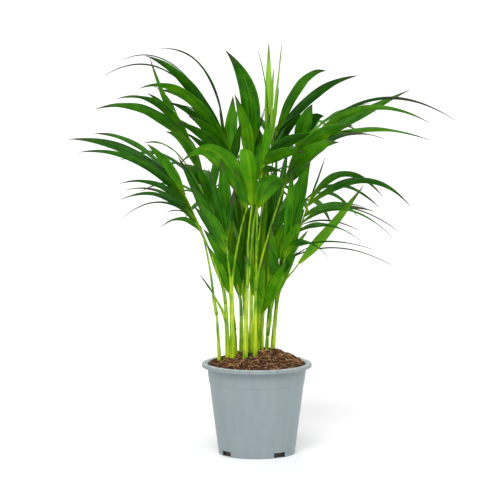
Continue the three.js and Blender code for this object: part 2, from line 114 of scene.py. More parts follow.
# Each sun: its name, its heading and height in degrees, and its strength. The key is in front, a little to
# the left, the fill is on the right, and the third is behind.
SUNS = (("key", -98, 48, 1.9), ("fill", -10, 40, 0.4), ("back", 110, 45, 0.5))
SUN_SPREAD = math.radians(30)
SKY_STRENGTH = 0.65

# Each stem: where it leaves the soil, its top, and its radii at the soil and the top, in millimetres.
STEMS = {
    "stem_1": {"foot": [-40, 2], "top": [-45, 0, 168], "radii": [2.2, 1.8]},
    "stem_2": {"foot": [-31, 6], "top": [-35, 4, 180], "radii": [2.9, 2.4]},
    "stem_3": {"foot": [-26, -2], "top": [-28, -2, 192], "radii": [3.5, 2.8]},
    "stem_4": {"foot": [-17, 19], "top": [-17, 21, 165], "radii": [2.7, 2.4]},
    "stem_5": {"foot": [-13, -11], "top": [-10, -12, 200], "radii": [2.9, 2.3]},
    "stem_6": {"foot": [-6, 7], "top": [-6, 8, 205], "radii": [2.7, 2.3]},
    "stem_7": {"foot": [-2, -4], "top": [-1, -5, 196], "radii": [2.7, 2.3]},
    "stem_8": {"foot": [5, 20], "top": [5, 20, 142], "radii": [3.4, 3]},
    "stem_9": {"foot": [10, 32], "top": [15, 32, 175], "radii": [2.4, 2.1]},
    "stem_10": {"foot": [16, 25], "top": [23, 22, 172], "radii": [3, 2.5]},
    "stem_11": {"foot": [-9, 36], "top": [-15, 48, 178], "radii": [3, 2.5]},
    "stem_12": {"foot": [3, 44], "top": [8, 60, 180], "radii": [3, 2.5]},
    "stem_13": {"foot": [1, 31], "top": [2, 37, 188], "radii": [2.9, 2.5]},
    "stem_14": {"foot": [-22, 11], "top": [-25, 12, 150], "radii": [2.5, 2.1]},
    "stem_15": {"foot": [1, 11], "top": [2, 11, 138], "radii": [2.5, 2.1]},
    "stem_16": {"foot": [-10, 17], "top": [-11, 18, 146], "radii": [2.5, 2.1]},
    "stem_17": {"foot": [10, 12], "top": [13, 12, 144], "radii": [2.3, 2]},
}

# Each frond grows from the top of its stem along a curve pulled towards "bend" and ends at "tip". "seat"
# sets its foot off the stem's axis, "from" starts it lower on the stem, and "shade" is its own tone.
# A leaflet: [place along the curve 0 to 1, tip x, y, z, lift of its arch, width, roll in degrees].
FRONDS = {
    "frond_left_low": {
        "stem": "stem_1", "bend": [-50, -2, 208], "tip": [-61, -6, 250],
        "leaflets": [
            [1, -144, -50, 266, 43, 4, 30],
            [0.92, -104, -26, 252, 25, 8, 40],
            [0.96, -98, 26, 262, 20, 5, 30],
            [0.8, -86, 22, 284, 10, 6, 40],
        ],
    },
    "frond_left_mid": {
        "stem": "stem_2", "bend": [-49, -4, 224], "tip": [-80, -20, 290], "shade": 0.35,
        "leaflets": [
            [0.97, -203, -30, 348, 37, 17, 46],
            [0.88, -190, -70, 338, 42, 10, 42],
            [0.98, -177, 20, 349, 38, 12, 42],
            [0.8, -147, -58, 303, 32, 9, 36],
            [0.74, -141, -86, 299, 30, 5, 30],
            [0.68, -147, -38, 283, 40, 9, 36],
            [0.86, -150, 48, 318, 34, 8, 30],
            [0.99, -118, -52, 345, 14, 11, 45],
        ],
    },
    "leaf_low_left": {
        "stem": "stem_2", "from": [-38, 3, 158], "bend": [-43, -2, 167], "tip": [-48, -5, 177],
        "leaflets": [
            [1, -62, -10, 198, 2, 5, 10],
        ],
    },
    "frond_left_front": {
        "stem": "stem_3", "bend": [-32, -12, 218], "tip": [-33, -20, 240],
        "leaflets": [
            [1, -38, -36, 328, 4, 15, 10],
            [0.9, -52, -46, 318, 6, 12, 20],
            [0.8, -66, -60, 284, 14, 10, 30],
            [0.95, -24, -38, 298, 4, 7, -10],
            [0.6, -68, -34, 276, 8, 13, 40],
        ],
    },
    "frond_front_left": {
        "stem": "stem_3", "bend": [-21, -8, 240], "tip": [-10, -15, 274], "shade": 0.45,
        "leaflets": [
            [1, -85, -76, 323, 76, 26, 35],
            [0.95, -24, -36, 316, 4, 10, 20],
        ],
    },
    "frond_left_inner": {
        "stem": "stem_4", "bend": [-20, 10, 186], "tip": [-37, -2, 224],
        "leaflets": [
            [1, -85, -20, 328, 10, 13, 50],
            [0.92, -72, -42, 300, 16, 12, 45],
            [0.75, -48, -34, 292, 8, 12, 30],
            [0.85, -62, 16, 300, 8, 10, 45],
            [0.5, -58, -26, 250, 8, 13, 50],
            [0.35, -46, -18, 252, 4, 11, 60],
            [0.2, -10, 2, 262, 4, 9, 20],
            [0.1, -32, -16, 232, 6, 10, 40],
        ],
    },
    "frond_left_high": {
        "stem": "stem_4", "seat": [-1, 2], "bend": [-42, 18, 262], "tip": [-85, 6, 367],
        "leaflets": [
            [0.86, -174, -36, 381, 40, 14, 45],
            [0.94, -116, 20, 431, -18, 11, 55],
            [0.96, -153, 32, 386, 28, 8, 40],
            [0.8, -118, -12, 396, 24, 12, 42],
            [0.7, -99, -40, 357, 26, 9, 38],
            [0.9, -140, -22, 392, 32, 11, 40],
            [1, -112, 46, 398, 14, 9, 35],
            [0.66, -104, 30, 380, 28, 12, 40],
            [0.6, -78, -42, 322, 16, 10, 38],
            [0.5, -66, -24, 318, 14, 11, 38],
            [0.55, -92, 48, 350, 20, 11, 38],
        ],
    },
    "frond_left_top": {
        "stem": "stem_6", "bend": [-15, 24, 275], "tip": [-34, 30, 340],
        "leaflets": [
            [0.92, -121, 8, 435, 44, 15, 42],
            [1, -105, 48, 440, [22, 0, 58], 7, 35],
            [0.9, -26, 46, 388, 0, 15, 0],
            [0.98, -41, 38, 374, 0, 5, 0],
            [0.8, -18, 2, 362, 4, 13, 20],
            [1, -147, 82, 425, 76, 3, 30],
            [0.86, -127, -10, 401, 64, 14, 40],
            [0.96, -167, 62, 409, 88, 4, 30],
            [0.78, -74, -18, 372, 20, 13, 45],
            [0.94, -108, 52, 394, 34, 13, 42],
            [0.84, -96, 12, 384, 26, 13, 42],
            [0.74, -88, -30, 366, 24, 13, 40],
            [0.9, -80, 62, 376, 22, 12, 38],
            [0.6, -78, 6, 352, 16, 12, 40],
            [0.66, -92, 38, 366, 22, 11, 42],
            [0.88, -22, 98, 366, 20, 10, 10],
        ],
    },
    "frond_front": {
        "stem": "stem_5", "bend": [-10, -17, 245], "tip": [-5, -20, 276], "shade": 0.5,
        "leaflets": [
            [1, -15, 0, 332, 44, 22, 0],
        ],
    },
    "frond_centre_right": {
        "stem": "stem_5", "seat": [1.9, 0.5], "bend": [-4, -8, 268], "tip": [9, -4, 322],
        "leaflets": [
            [1, 70, -22, 352, 20, 18, -40],
            [0.96, 52, -34, 334, 14, 17, -40],
            [0.92, 40, 26, 366, 10, 15, -45],
            [0.88, 34, -46, 308, 14, 12, -35],
            [0.8, 2, 32, 356, 6, 14, -10],
            [0.86, 14, 8, 372, 2, 13, 5],
            [0.7, 30, -28, 296, 8, 13, -30],
        ],
    },
    "frond_centre_top": {
        "stem": "stem_6", "seat": [1.8, -0.8], "bend": [-4, 12, 272], "tip": [-9, 14, 330], "shade": 0.5,
        "leaflets": [
            [1, -34, -16, 443, [24, 0, 22], 23, 15],
            [0.9, -24, 0, 394, [8, 0, 0], 18, 10],
            [0.96, 8, 26, 371, 0, 6, 0],
            [0.98, 12, 10, 385, 6, 4, 0],
            [0.8, -2, 84, 352, 26, 11, 10],
        ],
    },
    "frond_front_right": {
        "stem": "stem_7", "seat": [0.4, -2], "bend": [-1, -15, 240], "tip": [1, -19, 274], "shade": 0.48,
        "leaflets": [
            [1, 34, -50, 298, 34, 24, -40],
            [0.96, 20, -26, 312, 6, 13, -15],
        ],
    },
    "frond_spear": {
        "stem": "stem_7", "seat": [-1.2, 2], "bend": [5, 18, 262], "tip": [14, 24, 345],
        "young": True, "shade": 1.3,
        "leaflets": [
            [0.9, 1, 24, 441, [8, 0, 16], 7, 0],
            [0.94, 13, 26, 449, 4, 9, 0],
            [1, 18, 22, 420, 0, 8, 0],
            [0.97, 27, 26, 446, [2, 0, 0], 9, 0],
            [0.92, 24, 34, 398, 0, 8, 0],
        ],
    },
    "frond_right_inner": {
        "stem": "stem_7", "seat": [2, 0.8], "bend": [10, 2, 240], "tip": [48, 6, 345],
        "leaflets": [
            [0.95, 60, -10, 384, 10, 17, -60],
            [1, 73, -2, 370, 18, 18, -40],
            [0.85, 103, -60, 366, 25, 20, -40],
            [0.9, 62, 46, 370, 14, 10, -30],
            [0.75, 58, -44, 322, 8, 13, -40],
            [0.8, 88, -84, 350, 22, 15, -40],
            [0.7, 66, 34, 342, 16, 13, -40],
        ],
    },
    "frond_centre_low": {
        "stem": "stem_8", "bend": [8, 18, 160], "tip": [14, 12, 198], "shade": 0.8,
        "leaflets": [
            [1, 31, 2, 254, 8, 14, -55],
            [0.9, 18, 10, 264, 4, 11, -60],
            [0.4, 19, -4, 196, 6, 11, -50],
            [0.65, -8, 6, 238, 4, 10, 40],
            [0.25, -14, -22, 222, 6, 11, 30],
            [0.3, 32, -24, 216, 6, 11, -50],
        ],
    },
    "frond_right_top": {
        "stem": "stem_13", "seat": [1, -1.7], "bend": [10, 38, 262], "tip": [22, 35, 350], "shade": 0.25,
        "leaflets": [
            [0.98, 76, 50, 415, 42, 14, -65],
            [0.95, 110, 24, 412, 32, 15, -42],
            [1, 44, 66, 388, 12, 11, -30],
            [0.88, 52, 2, 372, 16, 12, -40],
            [0.8, 30, 104, 352, 30, 11, -10],
            [0.9, -14, 90, 366, 24, 10, 10],
        ],
    },
    "frond_inner_right": {
        "stem": "stem_13", "seat": [-0.6, 1.9], "bend": [11, 44, 215], "tip": [19, 42, 246],
        "leaflets": [
            [1, 34, 48, 330, 4, 14, -60],
            [0.92, 52, 50, 302, 10, 12, -50],
            [0.85, 9, 56, 318, 4, 13, 0],
            [0.7, 38, 32, 272, 8, 12, -50],
            [0.5, -2, 56, 270, 4, 11, 20],
            [0.3, 24, 44, 252, 4, 12, -30],
            [0.95, 22, 40, 334, 2, 14, 10],
            [0.6, 16, 34, 286, 2, 13, 0],
        ],
    },
    "frond_right_upper": {
        "stem": "stem_9", "bend": [27, 16, 258], "tip": [70, 0, 357], "shade": 0.5,
        "leaflets": [
            [1, 213, -34, 369, 57, 6, -36],
            [0.97, 124, 32, 381, 16, 5, -30],
            [0.94, 166, 10, 398, 3, 15, -52],
            [0.98, 184, -62, 369, 43, 11, -42],
            [0.9, 184, -92, 353, 30, 10, -36],
            [0.86, 136, -110, 356, 26, 7, -30],
            [0.8, 104, -30, 354, 22, 14, -38],
            [0.85, 110, 66, 348, 34, 10, -28],
        ],
    },
    "frond_right_single": {
        "stem": "stem_9", "seat": [1.4, -1.6], "bend": [29, 12, 184], "tip": [46, -12, 211], "shade": 0.95,
        "leaflets": [
            [1, 115, -46, 300, -4, 13, -42],
        ],
    },
    "frond_right_mid": {
        "stem": "stem_10", "bend": [39, -4, 222], "tip": [58, -24, 285],
        "leaflets": [
            [0.98, 74, 4, 325, -4, 4, -30],
            [0.95, 136, -30, 286, 56, 12, -42],
            [0.92, 165, -56, 278, [14, 0, 56], 12, -42],
            [0.86, 128, 20, 264, 12, 7, -35],
            [0.82, 115, -98, 282, 18, 8, -36],
            [0.84, 155, 8, 243, 32, 3, -30],
            [0.76, 145, -70, 247, 44, 8, -36],
            [0.74, 110, -20, 248, 15, 4, -30],
            [0.68, 112, -90, 244, 24, 9, -36],
        ],
    },
    "frond_right_low": {
        "stem": "stem_10", "seat": [-1.6, -1.6], "bend": [27, 4, 202], "tip": [33, -10, 226],
        "leaflets": [
            [1, 60, -8, 343, 4, 17, -70],
            [0.9, 39, -18, 318, 4, 12, -70],
            [0.95, 76, -74, 226, 26, 10, -36],
            [0.7, 145, -42, 213, 34, 3, -30],
            [0.6, 57, -20, 230, 4, 3, -20],
            [0.98, 124, -74, 234, 18, 4, -30],
            [0.8, 48, -44, 262, 8, 12, -40],
            [0.35, 45, -24, 240, 4, 12, -60],
            [0.2, 12, -32, 236, 6, 11, 20],
        ],
    },
    "frond_inner_left": {
        "stem": "stem_11", "seat": [0.4, -2], "bend": [-18, 44, 205], "tip": [-26, 42, 238],
        "leaflets": [
            [1, -40, 48, 330, 4, 14, 60],
            [0.92, -58, 50, 300, 10, 12, 50],
            [0.85, -16, 58, 312, 4, 13, 10],
            [0.7, -44, 36, 268, 8, 12, 50],
            [0.5, -8, 60, 262, 4, 11, 10],
            [0.3, -28, 34, 250, 4, 12, 30],
            [0.6, -20, 40, 322, 4, 15, 10],
        ],
    },
    "frond_back_left": {
        "stem": "stem_11", "seat": [-2, 0.6], "bend": [-38, 64, 248], "tip": [-68, 84, 290],
        "leaflets": [
            [1, -150, 98, 312, 38, 10, 30],
            [0.95, -126, 122, 328, 36, 10, 26],
            [0.9, -104, 134, 298, 34, 10, 22],
            [0.84, -82, 148, 334, 36, 10, 18],
            [0.78, -58, 150, 288, 36, 10, 12],
            [0.72, -36, 138, 322, 32, 10, 0],
        ],
    },
    "frond_back_left_low": {
        "stem": "stem_12", "seat": [-2, 0.4], "bend": [-22, 72, 232], "tip": [-50, 78, 260],
        "leaflets": [
            [1, -128, 88, 278, 36, 9, 28],
            [0.95, -104, 106, 266, 34, 9, 24],
            [0.9, -80, 122, 244, 30, 9, 20],
            [0.8, -54, 136, 250, 32, 9, 14],
            [0.7, -28, 138, 236, 30, 9, 0],
        ],
    },
    "frond_back": {
        "stem": "stem_11", "seat": [0.8, 1.9], "bend": [-12, 84, 250], "tip": [-12, 116, 300],
        "spray": {"pairs": 4, "reach": 74, "spread": 55, "rise": -8, "lift": 34, "width": 11},
    },
    "frond_back_high": {
        "stem": "stem_12", "seat": [-0.4, 2], "bend": [8, 82, 264], "tip": [8, 96, 326],
        "spray": {"pairs": 4, "reach": 78, "spread": 52, "rise": 4, "lift": 30, "width": 11},
    },
    "frond_back_right": {
        "stem": "stem_12", "seat": [1.9, -0.8], "bend": [26, 66, 270], "tip": [62, 70, 345],
        "leaflets": [
            [1, 132, 84, 366, 28, 10, -30],
            [0.95, 106, 114, 352, 32, 10, -24],
            [0.9, 78, 138, 344, 34, 10, -18],
            [0.84, 50, 150, 338, 34, 10, -10],
            [0.76, 26, 146, 312, 34, 10, 0],
        ],
    },
    "frond_back_right_low": {
        "stem": "stem_13", "seat": [1.9, 0.8], "bend": [30, 58, 236], "tip": [52, 68, 270],
        "leaflets": [
            [1, 136, 86, 260, 42, 9, -28],
            [0.95, 112, 106, 248, 38, 9, -24],
            [0.9, 84, 124, 236, 34, 9, -20],
            [0.8, 58, 136, 246, 32, 9, -12],
            [0.7, 36, 134, 232, 30, 9, 0],
        ],
    },
    "frond_low_left": {
        "stem": "stem_14", "bend": [-28, 10, 172], "tip": [-36, 8, 208], "shade": 0.8,
        "leaflets": [
            [1, -58, 0, 272, 6, 12, 45],
            [0.9, -46, 20, 282, 4, 12, 45],
            [0.7, -26, 4, 262, 4, 12, 20],
            [0.5, -54, -10, 230, 6, 11, 50],
            [0.3, -34, 14, 232, 4, 11, 40],
        ],
    },
    "frond_low_centre": {
        "stem": "stem_15", "bend": [2, 12, 170], "tip": [0, 14, 208], "shade": 0.8,
        "leaflets": [
            [1, -6, 22, 296, 2, 15, 10],
            [0.9, 12, 24, 292, 2, 15, -15],
            [0.75, -20, 18, 276, 4, 13, 30],
            [0.6, 20, 6, 252, 4, 12, -40],
            [0.4, -12, 2, 232, 4, 11, 20],
            [0.2, 8, 0, 216, 2, 10, -10],
        ],
    },
    "frond_low_inner": {
        "stem": "stem_16", "bend": [-13, 20, 180], "tip": [-17, 24, 218], "shade": 0.7,
        "leaflets": [
            [1, -28, 30, 304, 4, 15, 25],
            [0.9, -40, 26, 290, 6, 14, 40],
            [0.8, -12, 34, 290, 2, 14, 0],
            [0.6, -32, 12, 254, 4, 12, 40],
            [0.4, -4, 26, 246, 2, 12, 0],
        ],
    },
    "frond_low_right": {
        "stem": "stem_17", "bend": [17, 10, 174], "tip": [26, 6, 208], "shade": 0.8,
        "leaflets": [
            [1, 52, -6, 270, 8, 13, -50],
            [0.9, 38, 14, 284, 4, 13, -40],
            [0.75, 56, 12, 244, 8, 12, -45],
            [0.6, 16, -6, 250, 2, 12, 0],
            [0.4, 44, 0, 222, 6, 11, -50],
            [0.25, 14, 4, 218, 2, 11, -10],
        ],
    },
}


# Small tools.

def linear(code):
    """An sRGB hex colour as linear RGBA."""
    shares = [int(code[i:i + 2], 16) / 255 for i in (0, 2, 4)]
    return [s / 12.92 if s <= 0.04045 else ((s + 0.055) / 1.055) ** 2.4 for s in shares] + [1]


def add_node(material, kind, settings, links=None):
    """Adds a node. A setting is a property, a ramp's stops or an input's value; a link feeds an input."""
    node = material.node_tree.nodes.new(kind)
    for name, value in settings.items():
        if name == "stops":
            ramp = node.color_ramp
            while len(ramp.elements) < len(value):
                ramp.elements.new(0.5)
            for stop, (place, code) in zip(ramp.elements, value):
                stop.position = place
                stop.color = linear(code)
        elif isinstance(name, str) and hasattr(node, name):
            setattr(node, name, value)
        else:
            node.inputs[name].default_value = value
    for name, socket in (links or {}).items():
        material.node_tree.links.new(socket, node.inputs[name])
    return node.outputs


def new_material(name):
    """A material with an empty node tree."""
    material = bpy.data.materials.new(name)
    material.use_nodes = True
    material.node_tree.nodes.clear()
    return material


def finish_material(material, settings, links):
    """Ends a material in one Principled shader."""
    shader = add_node(material, "ShaderNodeBsdfPrincipled", settings, links)
    add_node(material, "ShaderNodeOutputMaterial", {}, {"Surface": shader["BSDF"]})
    return material


def make_piece(name, bm, materials, nodes):
    """Turns a bmesh into a piece that rides on the root and stands for its solids."""
    mesh = bpy.data.meshes.new(name)
    for face in bm.faces:
        face.smooth = True
    bm.to_mesh(mesh)
    bm.free()
    for material in materials:
        mesh.materials.append(material)
    piece = bpy.data.objects.new(name, mesh)
    bpy.context.scene.collection.objects.link(piece)
    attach(piece, "root")
    if nodes:
        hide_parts(*nodes)
    return piece


def arc(start, pull, end):
    """A quadratic curve: a function from 0..1 to its point and its unit direction."""
    def along(u):
        point = start * (1 - u) ** 2 + pull * 2 * u * (1 - u) + end * u ** 2
        slope = (pull - start) * (1 - u) + (end - pull) * u
        return point, slope.normalized()
    return along


def level_side(start, end):
    """The level direction square to the way from start to end."""
    heading = end - start
    heading.z = 0
    return heading.cross(UP).normalized()


def frame_at(curve, u, side, roll=0):
    """The point at u, the side direction kept near `side` and rolled, and the upper normal."""
    point, tangent = curve(u)
    across = (side - tangent * side.dot(tangent)).normalized()
    across.rotate(Matrix.Rotation(roll, 3, tangent))
    return point, across, across.cross(tangent)


def smooth_step(low, high, value):
    """Rises from 0 at low to 1 at high, and levels out at both."""
    share = min(1, max(0, (value - low) / (high - low)))
    return share * share * (3 - 2 * share)


def new_part():
    """An empty bmesh whose faces hold a tone, with a map that runs across and along each piece."""
    part = bmesh.new()
    part.loops.layers.uv.new("blade")
    return part, part.faces.layers.float.new("tone")


def join(bm, part):
    """Moves a finished part into a piece's bmesh."""
    mesh = bpy.data.meshes.new("part")
    part.to_mesh(mesh)
    part.free()
    bm.from_mesh(mesh)
    bpy.data.meshes.remove(mesh)


def add_tube(bm, curve, side, sides, steps, radius_at, shade=0, finish=0):
    """Adds a closed tube along a curve, its map running once round and once along."""
    part, tone = new_part()
    bmesh.ops.create_grid(part, x_segments=sides, y_segments=steps, size=0.5, calc_uvs=True)
    for v in part.verts:
        turn, u = TURN * v.co.x, v.co.y + 0.5
        point, across, normal = frame_at(curve, u, side)
        v.co = point + (across * math.cos(turn) + normal * math.sin(turn)) * radius_at(u)
    bmesh.ops.remove_doubles(part, verts=part.verts[:], dist=MERGE * MM)
    bmesh.ops.holes_fill(part, edges=part.edges[:], sides=sides)
    bmesh.ops.recalc_face_normals(part, faces=part.faces[:])
    for face in part.faces:
        face.material_index = finish
        face[tone] = shade
    join(bm, part)


# Materials.

def leaf_material(name, shades, rib, stem_end):
    """Living palm leaf, grown: a waxy blade with long veins, a pale midrib and a dried brown tip."""
    m = new_material(name)
    place = add_node(m, "ShaderNodeTexCoord", {})["Object"]
    uv = add_node(m, "ShaderNodeUVMap", {"uv_map": "blade"})["UV"]
    tone = add_node(m, "ShaderNodeAttribute", {"attribute_name": "tone"})["Fac"]
    axes = add_node(m, "ShaderNodeSeparateXYZ", {}, {0: uv})
    # Long streaks: about nine across a blade and one or two along it, different on every blade.
    spread = add_node(m, "ShaderNodeCombineXYZ", {}, {"X": axes["X"], "Y": axes["Y"], "Z": tone})
    long = add_node(m, "ShaderNodeVectorMath", {"operation": "MULTIPLY", 1: (9, 1.6, 40)}, {0: spread[0]})
    streaks = add_node(m, "ShaderNodeTexNoise", {"Scale": 1, "Detail": 3}, {"Vector": long[0]})["Fac"]
    # Soft blotches about 15 mm across.
    blotches = add_node(m, "ShaderNodeTexNoise", {"Scale": 65, "Detail": 2}, {"Vector": place})["Fac"]
    shade = add_node(m, "ShaderNodeMapRange", {"To Min": 0, "To Max": 0.45}, {"Value": tone})[0]
    half = add_node(m, "ShaderNodeMath", {"operation": "MULTIPLY_ADD", 1: 0.5}, {0: streaks, 2: shade})[0]
    mixed = add_node(m, "ShaderNodeMath", {"operation": "MULTIPLY_ADD", 1: 0.35}, {0: blotches, 2: half})[0]
    green = add_node(m, "ShaderNodeValToRGB", {"stops": shades}, {"Fac": mixed})["Color"]
    # The pale midrib, and the pale foot where the blade leaves the rachis.
    off = add_node(m, "ShaderNodeMath", {"operation": "SUBTRACT", 1: 0.5}, {0: axes["X"]})[0]
    away = add_node(m, "ShaderNodeMath", {"operation": "ABSOLUTE"}, {0: off})[0]
    midrib = add_node(
        m, "ShaderNodeMapRange",
        {"From Min": 0.015, "From Max": 0.05, "To Min": 0.3, "To Max": 0}, {"Value": away})[0]
    ribbed = add_node(m, "ShaderNodeMixRGB", {"Color2": linear(rib)}, {"Fac": midrib, "Color1": green})[0]
    foot = add_node(
        m, "ShaderNodeMapRange",
        {"From Min": 0.02, "From Max": 0.2, "To Min": 0.8, "To Max": 0}, {"Value": axes["Y"]})[0]
    based = add_node(
        m, "ShaderNodeMixRGB", {"Color2": linear(stem_end)}, {"Fac": foot, "Color1": ribbed})[0]
    # The last few centimetres of a blade dry to a grey brown, further down on the thin ones.
    thin = add_node(
        m, "ShaderNodeMapRange",
        {"From Min": 0, "From Max": -1, "To Min": 0, "To Max": 0.5}, {"Value": tone})[0]
    along = add_node(m, "ShaderNodeMath", {"operation": "ADD"}, {0: axes["Y"], 1: thin})[0]
    drying = add_node(
        m, "ShaderNodeMath", {"operation": "MULTIPLY_ADD", 1: 0.16}, {0: streaks, 2: along})[0]
    dried = add_node(
        m, "ShaderNodeMapRange",
        {"From Min": 0.86, "From Max": 1.04, "To Min": 0, "To Max": 0.9}, {"Value": drying})[0]
    tipped = add_node(
        m, "ShaderNodeMixRGB", {"Color2": linear("4a4434")}, {"Fac": dried, "Color1": based})[0]
    # Twelve fine veins across the width, 0.12 mm deep.
    veins = add_node(m, "ShaderNodeMath", {"operation": "MULTIPLY", 1: 24 * math.pi}, {0: axes["X"]})[0]
    wave = add_node(m, "ShaderNodeMath", {"operation": "SINE"}, {0: veins})[0]
    bump = add_node(
        m, "ShaderNodeBump", {"Strength": 0.35, "Distance": 0.12 * MM}, {"Height": wave})["Normal"]
    gloss = add_node(m, "ShaderNodeMapRange", {"To Min": 0.34, "To Max": 0.52}, {"Value": streaks})[0]
    return finish_material(
        m,
        {"IOR": 1.45, "Specular IOR Level": 0.12, "Subsurface Weight": 0.1,
         "Subsurface Radius": (0.5, 1, 0.15), "Subsurface Scale": 1.5 * MM},
        {"Base Color": tipped, "Roughness": gloss, "Normal": bump})


def cane_material(name, shades):
    """Green palm cane and petiole, grown: smooth waxy bark streaked lengthwise."""
    m = new_material(name)
    place = add_node(m, "ShaderNodeTexCoord", {})["Object"]
    # Streaks about 1.5 mm wide and 40 mm long, and blotches about 25 mm across.
    drawn = add_node(m, "ShaderNodeMapping", {"Scale": (1, 1, 0.04)}, {"Vector": place})["Vector"]
    streaks = add_node(m, "ShaderNodeTexNoise", {"Scale": 650, "Detail": 2}, {"Vector": drawn})["Fac"]
    blotches = add_node(m, "ShaderNodeTexNoise", {"Scale": 40, "Detail": 2}, {"Vector": place})["Fac"]
    share = add_node(m, "ShaderNodeMath", {"operation": "MULTIPLY", 1: 0.5}, {0: blotches})[0]
    mixed = add_node(m, "ShaderNodeMath", {"operation": "MULTIPLY_ADD", 1: 0.5}, {0: streaks, 2: share})[0]
    green = add_node(m, "ShaderNodeValToRGB", {"stops": shades}, {"Fac": mixed})["Color"]
    bump = add_node(
        m, "ShaderNodeBump", {"Strength": 0.3, "Distance": 0.2 * MM}, {"Height": streaks})["Normal"]
    return finish_material(
        m,
        {"IOR": 1.45, "Specular IOR Level": 0.3, "Roughness": 0.42, "Subsurface Weight": 0.1,
         "Subsurface Radius": (0.6, 1, 0.2), "Subsurface Scale": 2 * MM},
        {"Base Color": green, "Normal": bump})


def peat_material():
    """Potting peat with coir, mixed and watered in: dark crumbs, tan husk and no shine."""
    m = new_material("coir_and_peat")
    place = add_node(m, "ShaderNodeTexCoord", {})["Object"]
    # Crumbs 2.5 mm across, grains 2 mm across and patches 12 mm across.
    crumbs = add_node(m, "ShaderNodeTexVoronoi", {"Scale": 400, "Randomness": 1}, {"Vector": place})
    grains = add_node(
        m, "ShaderNodeTexNoise", {"Scale": 520, "Detail": 4, "Roughness": 0.7}, {"Vector": place})["Fac"]
    patches = add_node(m, "ShaderNodeTexNoise", {"Scale": 80, "Detail": 2}, {"Vector": place})["Fac"]
    split = add_node(m, "ShaderNodeSeparateXYZ", {}, {0: crumbs["Color"]})["X"]
    part = add_node(m, "ShaderNodeMath", {"operation": "MULTIPLY", 1: 0.35}, {0: split})[0]
    half = add_node(m, "ShaderNodeMath", {"operation": "MULTIPLY_ADD", 1: 0.5}, {0: grains, 2: part})[0]
    mixed = add_node(m, "ShaderNodeMath", {"operation": "MULTIPLY_ADD", 1: 0.25}, {0: patches, 2: half})[0]
    browns = ((0.3, "0c0603"), (0.45, "241208"), (0.58, "452611"), (0.7, "6a421f"), (0.8, "94683a"))
    brown = add_node(m, "ShaderNodeValToRGB", {"stops": browns}, {"Fac": mixed})["Color"]
    bump = add_node(m, "ShaderNodeBump", {"Strength": 0.9, "Distance": MM}, {"Height": grains})["Normal"]
    return finish_material(m, {"Roughness": 0.95, "IOR": 1.4}, {"Base Color": brown, "Normal": bump})


def fibre_material():
    """Coconut husk fibre and chips, torn from the husk: matt, from dark brown to straw."""
    m = new_material("coconut_coir")
    tone = add_node(m, "ShaderNodeAttribute", {"attribute_name": "tone"})["Fac"]
    place = add_node(m, "ShaderNodeTexCoord", {})["Object"]
    # Blotches about 3 mm across.
    blotches = add_node(m, "ShaderNodeTexNoise", {"Scale": 330, "Detail": 2}, {"Vector": place})["Fac"]
    mixed = add_node(m, "ShaderNodeMath", {"operation": "MULTIPLY_ADD", 1: 0.3}, {0: blotches, 2: tone})[0]
    browns = ((0.1, "180a04"), (0.5, "4a2812"), (0.8, "84552a"), (1, "cfa671"))
    brown = add_node(m, "ShaderNodeValToRGB", {"stops": browns}, {"Fac": mixed})["Color"]
    return finish_material(m, {"Roughness": 0.85, "IOR": 1.4}, {"Base Color": brown})


